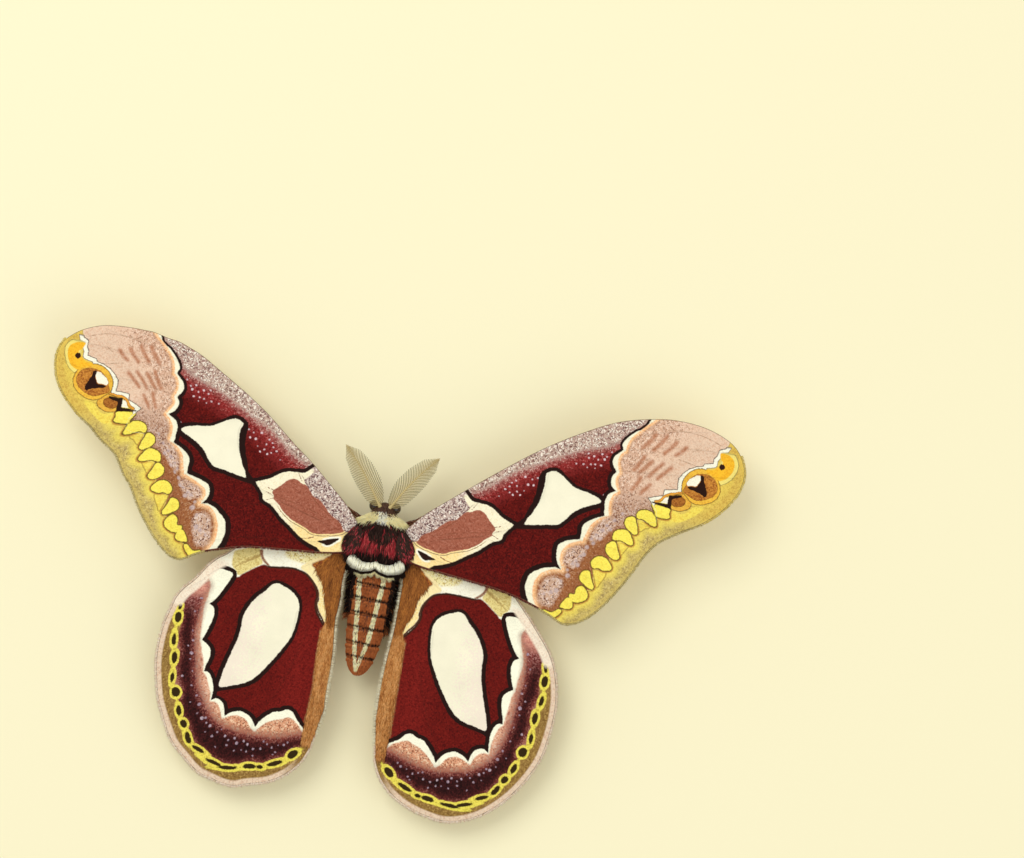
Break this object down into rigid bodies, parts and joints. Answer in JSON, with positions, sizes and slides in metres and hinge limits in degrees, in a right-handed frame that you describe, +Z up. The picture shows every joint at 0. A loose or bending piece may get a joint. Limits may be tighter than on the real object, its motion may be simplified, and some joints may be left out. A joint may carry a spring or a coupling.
{
  "type": "silk moth",
  "caption": "Male silk moth standing on its legs, with feathery antennae and its window-spotted, patterned wings spread flat.",
  "frame": {"origin": "middle of the whole moth's footprint, on the floor under the feet", "axes": "+Y towards the head, +X towards the tip of the moth's right wing, +Z up out of its back"},
  "size_m": [0.1166, 0.074, 0.0113],
  "materials": {
    "body_fur": "matte fur",
    "wing_scales": "matte scales on a thin membrane",
    "antenna": "dull horn",
    "eye": "glossy",
    "leg": "dull horn with short fur"
  },
  "bodies": {
    "root": {"abdomen": "body_fur", "antenna_left": "antenna", "antenna_right": "antenna", "collar": "body_fur", "eye_left": "eye", "eye_right": "eye", "forewing_left": "wing_scales", "forewing_right": "wing_scales", "head": "body_fur", "hindwing_left": "wing_scales", "hindwing_right": "wing_scales", "leg_fore_left": "leg", "leg_fore_right": "leg", "leg_hind_left": "leg", "leg_hind_right": "leg", "leg_mid_left": "leg", "leg_mid_right": "leg", "thorax": "body_fur"}
  },
  "joints": []
}
